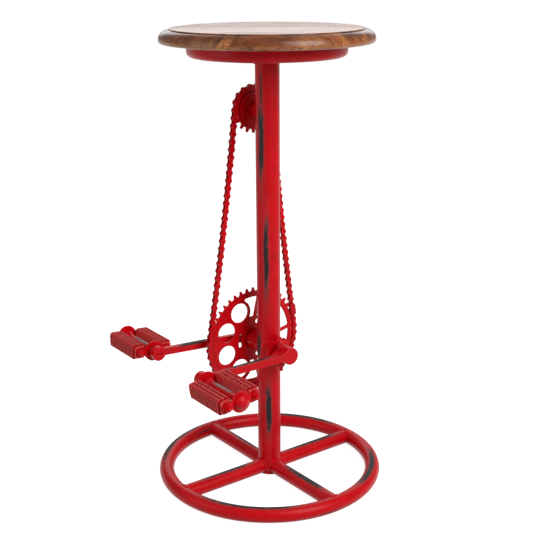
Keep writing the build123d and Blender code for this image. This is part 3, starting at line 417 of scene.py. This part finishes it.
    # Painted shade in the step's corner
    corner = node(tree, "ShaderNodeAmbientOcclusion", {"Distance": 3 * MM}, samples=8)
    step_shade = node(tree, "ShaderNodeMapRange", {0: corner.outputs["AO"], 1: 0.9, 2: 0.55, 3: 0.0, 4: 0.95})
    wood = node(tree, "ShaderNodeMix", {0: step_shade.outputs[0], 6: wood.outputs[2],
                                        7: linear(colours.stain_and_shade_wood)}, data_type="RGBA")
    # More of it towards the top of the round edge
    shoulder = node(tree, "ShaderNodeMapRange", {0: axes.outputs["Z"], 1: ledge - 11 * MM, 2: ledge,
                                                 3: 0.0, 4: 0.85})
    blotch = node(tree, "ShaderNodeMapRange", {0: cloud.outputs[0], 1: 0.35, 2: 0.6})
    shaded = node(tree, "ShaderNodeMath", {0: shoulder.outputs[0], 1: below_top.outputs[0]},
                  operation="MULTIPLY")
    shaded = node(tree, "ShaderNodeMath", {0: shaded.outputs[0], 1: blotch.outputs[0]}, operation="MULTIPLY")
    wood = node(tree, "ShaderNodeMix", {0: shaded.outputs[0], 6: wood.outputs[2],
                                        7: linear(colours.stain_and_shade_wood)}, data_type="RGBA")
    # The rag wiped the lower rim back to the golden wood, all but its pores
    wiped = node(tree, "ShaderNodeMapRange", {0: axes.outputs["Z"], 1: -2 * MM, 2: -9 * MM, 3: 0.0, 4: 0.75})
    clear = node(tree, "ShaderNodeMapRange", {0: pores.outputs[0], 1: 0.42, 2: 0.56})
    wiped = node(tree, "ShaderNodeMath", {0: wiped.outputs[0], 1: clear.outputs[0]}, operation="MULTIPLY")
    wood = node(tree, "ShaderNodeMix", {0: wiped.outputs[0], 6: wood.outputs[2],
                                        7: linear(colours.wood_light)}, data_type="RGBA")
    grain = node(tree, "ShaderNodeBump", {"Strength": 0.2, "Distance": 0.15 * MM, "Height": pores.outputs[0]})
    worn = node(tree, "ShaderNodeMapRange", {0: cloud.outputs[0], 1: 0.3, 2: 0.7, 3: 0.42, 4: 0.52})
    tree.links.new(wood.outputs[2], shader.inputs["Base Color"])
    tree.links.new(worn.outputs[0], shader.inputs["Roughness"])
    tree.links.new(grain.outputs[0], shader.inputs["Normal"])
    shader.inputs["IOR"].default_value = 1.5
    shader.inputs["Specular IOR Level"].default_value = 0.15
    shader.inputs["Coat Weight"].default_value = 0.5
    shader.inputs["Coat Roughness"].default_value = 0.22
    shader.inputs["Coat IOR"].default_value = 1.5
    return finish


def give(names, finish):
    """Puts a finish on nodes of the frame."""
    for name in names:
        node_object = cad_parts[name]
        node_object.data.materials.clear()
        node_object.data.materials.append(finish)


def start_alone():
    """Leaves edit mode with nothing selected, so that the next operator acts on its own piece only."""
    if bpy.context.mode != "OBJECT":
        bpy.ops.object.mode_set(mode="OBJECT")
    bpy.ops.object.select_all(action="DESELECT")


def quarter(centre_r, centre_z, radius, start, steps):
    """Points of a quarter turn on a turned profile, clockwise from the start angle in degrees."""
    points = []
    for step in range(steps + 1):
        angle = math.radians(start - 90 * step / steps)
        points.append((centre_r + radius * math.cos(angle), centre_z + radius * math.sin(angle)))
    return points


class STOOL_OT_seat_board(bpy.types.Operator):
    """Models the seat board with its sanded step and varnishes it"""
    bl_idname = "stool.seat_board"
    bl_label = "Seat board"

    def execute(self, context):
        sizes = context.scene.stool_sizes
        top = seat_high[2]
        bottom = seat_low[2]
        radius = (seat_high[0] - seat_low[0]) / 2
        soft = sizes.softened
        ledge_height = top - sizes.step
        round_in = radius - sizes.edge_round
        flat = round_in - sizes.ledge
        # From the top's edge over the step and the round edge to the underside
        profile = quarter(flat - soft, top - soft, soft, 90, 4)
        cove = quarter(flat + soft, ledge_height + soft, soft, 270, 4)
        profile += reversed(cove)
        profile += quarter(round_in, ledge_height - sizes.edge_round, sizes.edge_round, 90, 14)
        profile += quarter(radius - sizes.under_round, bottom + sizes.under_round, sizes.under_round, 0, 8)
        start_alone()
        first_r, first_z = profile[0]
        bpy.ops.mesh.primitive_circle_add(vertices=sizes.round_sides, radius=first_r, fill_type="NOTHING",
                                          location=(0, 0, first_z))
        board = context.active_object
        board.name = "seat_board"
        bpy.ops.object.mode_set(mode="EDIT")
        bpy.ops.mesh.select_all(action="SELECT")
        for (from_r, from_z), (to_r, to_z) in zip(profile, profile[1:]):
            bpy.ops.mesh.extrude_edges_move(TRANSFORM_OT_translate={"value": (0, 0, to_z - from_z)})
            bpy.ops.transform.resize(value=(to_r / from_r, to_r / from_r, 1), center_override=(0, 0, to_z))
        bpy.ops.mesh.edge_face_add()
        bpy.ops.mesh.select_all(action="DESELECT")
        bpy.ops.mesh.select_non_manifold()
        bpy.ops.mesh.edge_face_add()
        bpy.ops.mesh.select_all(action="SELECT")
        bpy.ops.mesh.remove_doubles(threshold=1e-6)
        bpy.ops.mesh.normals_make_consistent(inside=False)
        bpy.ops.object.mode_set(mode="OBJECT")
        bpy.ops.object.transform_apply(location=True, rotation=True, scale=True)
        bpy.ops.object.shade_smooth_by_angle(angle=math.radians(40))
        board.data.materials.append(varnished_boards("varnished mango boards", context.scene.stool_colours,
                                                     (top + bottom) / 2, ledge_height - (top + bottom) / 2))
        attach(board, "stool")
        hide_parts("seat")
        return {"FINISHED"}


def weld_line(curve, points, ripple, closed):
    """Adds one bead along points, lumpy like a hand weld, thinning out at open ends."""
    line = curve.splines.new("NURBS")
    line.points.add(len(points) - 1)
    run = 0.0
    for number, point in enumerate(points):
        if number:
            run += (point - points[number - 1]).length
        ripples = 0.20 * math.sin(2 * math.pi * run / ripple)
        slow_lumps = 0.14 * math.sin(2.3 * run / ripple + 1.7 * number)
        thickness = 1 + ripples + slow_lumps
        if not closed:
            thickness *= min(1.0, 0.25 + 0.25 * min(number, len(points) - 1 - number))
        line.points[number].co = (*point, 1.0)
        line.points[number].radius = thickness
    line.order_u = 4
    line.use_cyclic_u = closed
    line.use_endpoint_u = not closed


def weld_piece(context, name, lines, bead, ripple, closed):
    """Makes the beads of one group into a mesh piece."""
    start_alone()
    curve = bpy.data.curves.new(name, "CURVE")
    curve.dimensions = "3D"
    curve.bevel_depth = bead
    curve.bevel_resolution = 3
    curve.resolution_u = 2
    curve.use_fill_caps = True
    for points in lines:
        weld_line(curve, points, ripple, closed)
    piece = bpy.data.objects.new(name, curve)
    context.collection.objects.link(piece)
    context.view_layer.objects.active = piece
    piece.select_set(True)
    bpy.ops.object.convert(target="MESH")
    piece = context.active_object
    bpy.ops.object.mode_set(mode="EDIT")
    bpy.ops.mesh.select_all(action="SELECT")
    bpy.ops.mesh.remove_doubles(threshold=1e-6)
    bpy.ops.mesh.normals_make_consistent(inside=False)
    bpy.ops.object.mode_set(mode="OBJECT")
    bpy.ops.object.shade_smooth()
    return piece


class STOOL_OT_weld_beads(bpy.types.Operator):
    """Lays the weld beads of the base, the bracket and the freewheel stub"""
    bl_idname = "stool.weld_beads"
    bl_label = "Weld beads"

    def execute(self, context):
        sizes = context.scene.stool_sizes
        colours = context.scene.stool_colours
        post_radius = (post_high[0] - post_low[0]) / 2
        tube = (ring_high[2] - ring_low[2]) / 2
        ring_radius = (ring_high[0] - ring_low[0]) / 2 - tube
        spoke = (spoke_high[2] - spoke_low[2]) / 2
        middle = (ring_low[2] + ring_high[2]) / 2
        far_end = Vector(((spoke_high[0] + spoke_low[0]) / 2, (spoke_high[1] + spoke_low[1]) / 2, 0))
        turn = math.atan2(far_end.y, far_end.x)
        # A bead goes over a spoke's top and sides, and leaves out its underside
        arc_start = math.radians(-32)
        arc_sweep = math.radians(244)
        arc_steps = 40
        at_post = []
        at_ring = []
        for number in range(4):
            spin = Matrix.Rotation(turn + number * math.pi / 2, 4, "Z")
            post_line = []
            ring_line = []
            for count in range(arc_steps + 1):
                angle = arc_start + arc_sweep * count / arc_steps
                side = spoke * math.cos(angle)
                rise = spoke * math.sin(angle)
                post_reach = math.sqrt(post_radius ** 2 - side ** 2)
                ring_reach = ring_radius - math.sqrt(tube ** 2 - rise ** 2)
                post_line.append(spin @ Vector((post_reach, side, middle + rise)))
                ring_line.append(spin @ Vector((math.sqrt(ring_reach ** 2 - side ** 2), side, middle + rise)))
            at_post.append(post_line)
            at_ring.append(ring_line)
        shell_radius = (shell_high[2] - shell_low[2]) / 2
        shell_middle = (shell_high[2] + shell_low[2]) / 2
        stub_radius = (stub_high[2] - stub_low[2]) / 2
        stub_x = (stub_high[0] + stub_low[0]) / 2
        stub_middle = (stub_high[2] + stub_low[2]) / 2
        round_steps = 48
        left_line = []
        right_line = []
        stub_line = []
        for count in range(round_steps):
            angle = 2 * math.pi * count / round_steps
            x = shell_radius * math.cos(angle)
            depth = math.sqrt(post_radius ** 2 - x ** 2)
            left_line.append(Vector((x, -depth, shell_middle + shell_radius * math.sin(angle))))
            right_line.append(Vector((x, depth, shell_middle + shell_radius * math.sin(angle))))
            x = stub_x + stub_radius * math.cos(angle)
            stub_line.append(Vector((x, math.sqrt(post_radius ** 2 - x ** 2),
                                     stub_middle + stub_radius * math.sin(angle))))
        # Painted shade where the beads meet the tubes, up to 6 mm deep
        paint = red_enamel("sprayed enamel on welds", colours, hollow=6 * MM)
        groups = (("post_foot_welds", at_post, sizes.frame_bead, False, "base_paint"),
                  ("ring_welds", at_ring, sizes.ring_bead, False, "base_paint"),
                  ("bracket_welds", [left_line, right_line], sizes.bracket_bead, True, "post_paint"),
                  ("stub_weld", [stub_line], sizes.bracket_bead, True, "post_paint"))
        for name, lines, bead, closed, slot in groups:
            piece = weld_piece(context, name, lines, bead, sizes.bead_ripple, closed)
            piece.data.materials.append(paint)
            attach(piece, "stool")
        return {"FINISHED"}


class STOOL_OT_frame_paint(bpy.types.Operator):
    """Paints the pan, the post and the base, rubbed through where the real ones are"""
    bl_idname = "stool.frame_paint"
    bl_label = "Frame paint"

    def execute(self, context):
        colours = context.scene.stool_colours
        tube = (ring_high[2] - ring_low[2]) / 2
        ring_radius = (ring_high[0] - ring_low[0]) / 2 - tube
        middle = (ring_low[2] + ring_high[2]) / 2

        def post_places(tree, place):
            # Streaks down the post: angle and height of the middle, half width and half height
            sheet = unrolled_post(tree, place)
            return rubbed_places(tree, sheet, [((201, 0.588, 0), (14, 0.060, 1)),
                                               ((203, 0.664, 0), (5, 0.030, 1)),
                                               ((224, 0.392, 0), (12, 0.066, 1)),
                                               ((173, 0.237, 0), (14, 0.021, 1)),
                                               ((232, 0.122, 0), (14, 0.043, 1))])

        def ring_places(tree, place):
            # Arcs on the ring: angle about the post and angle round the tube, and half of each
            sheet = unrolled_ring(tree, place, ring_radius, middle)
            return rubbed_places(tree, sheet, [((33, 88, 0), (21, 25, 1)), ((311, 92, 0), (22, 22, 1)),
                                               ((122, 70, 0), (25, 25, 1)), ((223, 100, 0), (26, 27, 1)),
                                               ((99, 152, 0), (7, 6, 1)), ((266, -18, 0), (7, 4, 1))])

        def spoke_places(tree, place):
            # One long streak along the top of each spoke
            return rubbed_places(tree, place, [((0.094, 0.0025, 0.0238), (0.056, 0.0042, 0.005)),
                                               ((-0.092, -0.0005, 0.0245), (0.050, 0.005, 0.005)),
                                               ((0.004, -0.096, 0.0245), (0.0075, 0.050, 0.006)),
                                               ((0.002, 0.090, 0.0245), (0.004, 0.046, 0.005))])

        post_paint = red_enamel("rubbed red enamel on the post", colours, post_places, (1.0, 1.0, 0.22))
        ring_paint = red_enamel("rubbed red enamel on the ring", colours, ring_places)
        spoke_paint = red_enamel("rubbed red enamel on the spokes", colours, spoke_places)
        # Painted shade in the pan's corners, up to 9 mm deep
        pan_paint = red_enamel("satin red enamel on the pan", colours, hollow=9 * MM)
        give(["post"], post_paint)
        give(["base_ring"], ring_paint)
        give(["base_spoke_1", "base_spoke_2", "base_spoke_3", "base_spoke_4"], spoke_paint)
        give(["seat_pan", "seat_screws"], pan_paint)
        return {"FINISHED"}


class STOOL_OT_crank_paint(bpy.types.Operator):
    """Paints the bracket, the cranks, the chainwheel, the freewheel and the chain"""
    bl_idname = "stool.crank_paint"
    bl_label = "Crankset and chain paint"

    def execute(self, context):
        colours = context.scene.stool_colours
        left_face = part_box("left_crank_arm")[0][1]
        right_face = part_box("right_crank_arm")[1][1]
        axle_height = (shell_low[2] + shell_high[2]) / 2

        def arm_places(tree, place):
            # A streak along the top edge of each arm
            left_middle = (-0.078, left_face + 7.2 * MM, axle_height + 6.8 * MM)
            right_middle = (-0.104, right_face - 11.5 * MM, axle_height + 6.4 * MM)
            return rubbed_places(tree, place, [(left_middle, (0.040, 0.0056, 0.0020)),
                                               (right_middle, (0.028, 0.009, 0.0026))])

        arm_paint = red_enamel("rubbed red enamel on the cranks", colours, arm_places, (0.3, 1.0, 1.0))
        wheel_paint = red_enamel("satin red enamel on the chainwheel", colours, hollow=5 * MM)
        # Black painted shade in the gaps of the freewheel and the chain
        sprocket_paint = red_enamel("thick red enamel on the freewheel", colours, hollow=2.6 * MM,
                                    gap_shade_black=0.52)
        chain_paint = red_enamel("thick red enamel on the chain", colours, hollow=3.2 * MM, gap_shade_black=0.3)
        steel = ground_steel("greased bearing steel", colours)
        give(["bracket_shell", "fixed_cup", "adjustable_cup", "lock_ring", "left_crank_arm",
              "right_crank_arm", "cotter_pins", "cotter_washers", "cotter_nuts"], arm_paint)
        give(["chainwheel", "freewheel_stub"], wheel_paint)
        give(["freewheel_body", "freewheel_sprocket", "freewheel_cover_ring"], sprocket_paint)
        give(["chain_outer_plates", "chain_inner_plates", "chain_rollers", "chain_pins",
              "chain_joining_plate"], chain_paint)
        give(["crank_axle", "bracket_balls"], steel)
        return {"FINISHED"}


class STOOL_OT_pedal_paint(bpy.types.Operator):
    """Paints both pedals, with bare metal on the barrels and black gaps in the rubbers, partly painted shade
    """
    bl_idname = "stool.pedal_paint"
    bl_label = "Pedal paint"

    def execute(self, context):
        colours = context.scene.stool_colours

        def barrel_places(tree, place):
            # The sole of a shoe has bared the top of each barrel, on the right one nearer to the crank
            above_axis = 6.4 * MM
            bared = (0.0034, 0.025, 0.004)
            patches = []
            for name, shift in (("left_pedal_barrel", 0.0), ("right_pedal_barrel", -0.012)):
                low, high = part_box(name)
                middle = [(a + b) / 2 for a, b in zip(low, high)]
                patches.append(((middle[0], middle[1] + shift, middle[2] + above_axis), bared))
            return rubbed_places(tree, place, patches)

        metal = red_enamel("satin red enamel on the pedals", colours, hollow=3 * MM)
        barrel = red_enamel("bared red enamel on the barrels", colours, barrel_places, (1.0, 0.3, 1.0),
                            worn_to=colours.bare_steel)
        rubber = painted_rubber("painted pedal rubber", colours)
        steel = ground_steel("greased pedal steel", colours)
        for side in ("left_pedal", "right_pedal"):
            give([f"{side}_{piece}" for piece in ("spindle", "inner_plate", "outer_plate", "bolts", "nuts",
                                                  "dust_cap")], metal)
            give([f"{side}_barrel"], barrel)
            give([f"{side}_front_rubber", f"{side}_rear_rubber"], rubber)
            give([f"{side}_cone_nut", f"{side}_balls"], steel)
        return {"FINISHED"}


def softbox(context, name, place, target, width, height, power):
    """A rectangular lamp that faces a target and isn't seen by the camera."""
    lamp = bpy.data.lights.new(name, "AREA")
    lamp.shape = "RECTANGLE"
    lamp.size = width
    lamp.size_y = height
    lamp.energy = power
    holder = bpy.data.objects.new(name, lamp)
    holder.location = place
    holder.rotation_euler = (Vector(target) - Vector(place)).to_track_quat("-Z", "Y").to_euler()
    holder.visible_camera = False
    context.collection.objects.link(holder)


class STOOL_OT_stage(bpy.types.Operator):
    """Sets up the pale floor, the softboxes, the room light and the camera"""
    bl_idname = "stool.stage"
    bl_label = "Stage"

    def execute(self, context):
        stage = context.scene.stool_stage
        scene = context.scene
        start_alone()
        bpy.ops.mesh.primitive_plane_add(size=60, location=(0, 0, 0))
        floor = context.active_object
        floor.name = "studio_floor"
        # White paper: matt, lifted to white for the camera, with the stool's shadow kept
        paper, tree, shader, _ = new_finish("white background paper")
        shader.inputs["Base Color"].default_value = linear(stage.floor_colour)
        shader.inputs["Roughness"].default_value = 0.9
        shader.inputs["Specular IOR Level"].default_value = 0.0
        path = node(tree, "ShaderNodeLightPath")
        seen = node(tree, "ShaderNodeMath", {0: path.outputs["Is Camera Ray"],
                                             1: path.outputs["Is Glossy Ray"]}, operation="MAXIMUM")
        seen = node(tree, "ShaderNodeMath", {0: seen.outputs[0], 1: path.outputs["Is Transmission Ray"]},
                    operation="MAXIMUM")
        lift = node(tree, "ShaderNodeMath", {0: seen.outputs[0], 1: stage.floor_lift}, operation="MULTIPLY")
        shader.inputs["Emission Color"].default_value = (1, 1, 1, 1)
        tree.links.new(lift.outputs[0], shader.inputs["Emission Strength"])
        floor.data.materials.append(paper)

        # Place and target of each lamp, then its width, height and power
        softbox(context, "key softbox", (0.25, -1.95, 1.85), (0, 0, 0.45), 1.3, 1.7, stage.key_light)
        softbox(context, "fill softbox", (-2.0, 0.45, 1.1), (0, 0, 0.4), 1.4, 1.8, stage.fill_light)
        softbox(context, "back softbox", (1.505, 2.103, 1.54), (0, 0, seat_high[2]), 2.6, 1.1,
                stage.back_light)

        world = bpy.data.worlds.new("white studio")
        world.use_nodes = True
        tree = world.node_tree
        tree.nodes.clear()
        path = node(tree, "ShaderNodeLightPath")
        strength = node(tree, "ShaderNodeMix", {0: path.outputs["Is Camera Ray"], 2: stage.room_light,
                                                3: 1.0})
        room = node(tree, "ShaderNodeBackground", {"Color": (1, 1, 1, 1), "Strength": strength.outputs[0]})
        node(tree, "ShaderNodeOutputWorld", {"Surface": room.outputs[0]})
        scene.world = world

        camera = bpy.data.cameras.new("photo camera")
        camera.sensor_width = 36
        camera.lens = stage.focal_length
        camera.dof.use_dof = False
        tripod = bpy.data.objects.new("photo camera", camera)
        tripod.matrix_world = (Matrix.Translation(stage.camera_place)
                               @ Matrix.Rotation(stage.camera_heading, 4, "Z")
                               @ Matrix.Rotation(math.pi / 2 - stage.camera_pitch, 4, "X")
                               @ Matrix.Rotation(stage.camera_roll, 4, "Z"))
        context.collection.objects.link(tripod)
        scene.camera = tripod
        scene.view_settings.view_transform = "Standard"
        return {"FINISHED"}


STEPS = (STOOL_OT_seat_board, STOOL_OT_weld_beads, STOOL_OT_frame_paint, STOOL_OT_crank_paint,
         STOOL_OT_pedal_paint, STOOL_OT_stage)


class STOOL_PT_panel(bpy.types.Panel):
    """Lists the steps and the sizes in the sidebar"""
    bl_idname = "STOOL_PT_panel"
    bl_label = "Bar stool"
    bl_space_type = "VIEW_3D"
    bl_region_type = "UI"
    bl_category = "Bar stool"

    def draw(self, context):
        for step in STEPS:
            self.layout.operator(step.bl_idname)
        for group in (context.scene.stool_sizes, context.scene.stool_colours, context.scene.stool_stage):
            box = self.layout.box()
            for name in group.__annotations__:
                box.prop(group, name)


CLASSES = (StoolSizes, StoolColours, StoolStage, *STEPS, STOOL_PT_panel)


def register():
    for cls in CLASSES:
        bpy.utils.register_class(cls)
    bpy.types.Scene.stool_sizes = PointerProperty(type=StoolSizes)
    bpy.types.Scene.stool_colours = PointerProperty(type=StoolColours)
    bpy.types.Scene.stool_stage = PointerProperty(type=StoolStage)


def unregister():
    del bpy.types.Scene.stool_stage
    del bpy.types.Scene.stool_colours
    del bpy.types.Scene.stool_sizes
    for cls in reversed(CLASSES):
        bpy.utils.unregister_class(cls)


def main():
    register()
    bpy.ops.stool.stage()
    bpy.ops.stool.seat_board()
    bpy.ops.stool.weld_beads()
    bpy.ops.stool.frame_paint()
    bpy.ops.stool.crank_paint()
    bpy.ops.stool.pedal_paint()


if __name__ == "__main__":
    main()
